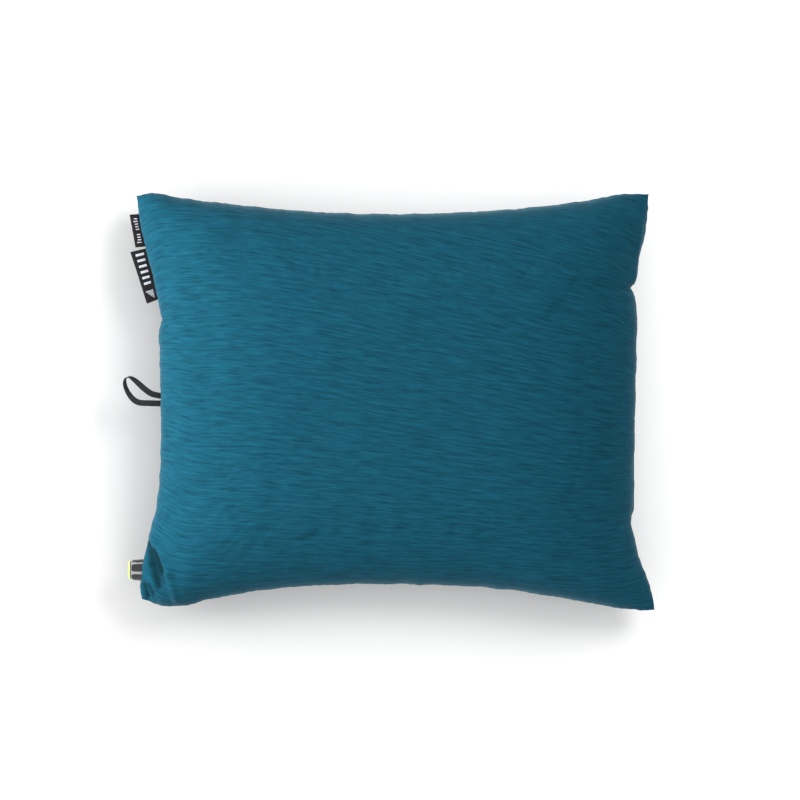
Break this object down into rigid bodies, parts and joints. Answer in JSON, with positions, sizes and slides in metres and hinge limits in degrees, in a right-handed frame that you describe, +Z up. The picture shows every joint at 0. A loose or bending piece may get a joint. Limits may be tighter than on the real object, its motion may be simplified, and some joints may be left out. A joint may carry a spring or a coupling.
{
  "type": "camp pillow",
  "caption": "Inflatable camp pillow with a foam top in a zipped jersey cover, a screw valve at one corner and a hang loop.",
  "frame": {"origin": "middle of the flat patch of the underside, on the ground", "axes": "+X along the long side, away from the valve; +Y along the short side, away from the valve; +Z up"},
  "size_m": [0.5724, 0.448, 0.1251],
  "materials": {
    "cover_knit": "teal slub jersey knit, brushed, with a soft sheen",
    "foam": "open-cell foam",
    "film": "welded polyurethane film",
    "black_plastic": "moulded, satin gloss",
    "lime_plastic": "moulded, slightly translucent",
    "rubber": "moulded silicone",
    "zip_tape": "knitted polyester tape",
    "zip_nylon": "nylon coil",
    "zip_metal": "painted zinc",
    "woven_label": "damask woven label",
    "webbing": "ribbed grosgrain webbing"
  },
  "bodies": {
    "root": {"cover_top": "cover_knit", "cover_bottom": "cover_knit", "foam_pad": "foam", "bladder_top": "film", "bladder_bottom": "film", "baffle_1": "film", "baffle_2": "film", "baffle_3": "film", "baffle_4": "film", "valve_boat": "black_plastic", "valve_stem": "black_plastic", "valve_plug": "rubber", "zip_tape_upper": "zip_tape", "zip_tape_lower": "zip_tape", "zip_coil_upper": "zip_nylon", "zip_coil_lower": "zip_nylon", "zip_stop_closed": "zip_metal", "zip_stop_open": "zip_metal"},
    "valve_seal": {"valve_seal": "rubber"},
    "valve_knob": {"valve_knob": "black_plastic", "valve_mouthpiece": "lime_plastic"},
    "zip_slider": {"zip_slider": "zip_metal"},
    "zip_pull": {"zip_pull": "zip_metal"},
    "hang_loop": {"hang_loop": "webbing"},
    "maker_label": {"maker_label": "woven_label"},
    "size_label": {"size_label": "woven_label"}
  },
  "joints": [
    {"name": "valve_travel", "type": "slide", "parent": "root", "child": "valve_seal", "axis": [-1, 0, 0], "range_m": [0, 0.0061]},
    {"name": "valve_turn", "type": "hinge", "parent": "valve_seal", "child": "valve_knob", "pos_m": [-0.273, -0.182, 0.05197], "axis": [-1, 0, 0], "range_deg": [0, 270]},
    {"name": "zip_slide", "type": "slide", "parent": "root", "child": "zip_slider", "axis": [0, 1, 0], "range_m": [-0.002, 0.198]},
    {"name": "zip_pull_swing", "type": "hinge", "parent": "zip_slider", "child": "zip_pull", "pos_m": [0.25665, -0.098, 0.04123], "axis": [-0.414, 0, -0.9103], "range_deg": [0, 175]},
    {"name": "loop_flap", "type": "hinge", "parent": "root", "child": "hang_loop", "pos_m": [-0.2551, 0.002, 0.0586], "axis": [0, 1, 0], "range_deg": [-45, 45], "stiffness_Nm_per_rad": 0.004},
    {"name": "maker_label_flap", "type": "hinge", "parent": "root", "child": "maker_label", "pos_m": [-0.26191, 0.13808, 0.05532], "axis": [-0.1874, 0.9807, -0.0553], "range_deg": [-45, 45], "stiffness_Nm_per_rad": 0.002},
    {"name": "size_label_flap", "type": "hinge", "parent": "root", "child": "size_label", "pos_m": [-0.27176, 0.18609, 0.05149], "axis": [-0.2197, 0.9689, -0.1138], "range_deg": [-45, 45], "stiffness_Nm_per_rad": 0.002}
  ],
  "couplings": [
    {"joint": "valve_travel", "follows": "valve_turn", "m_per_rad": 0.0012732}
  ]
}
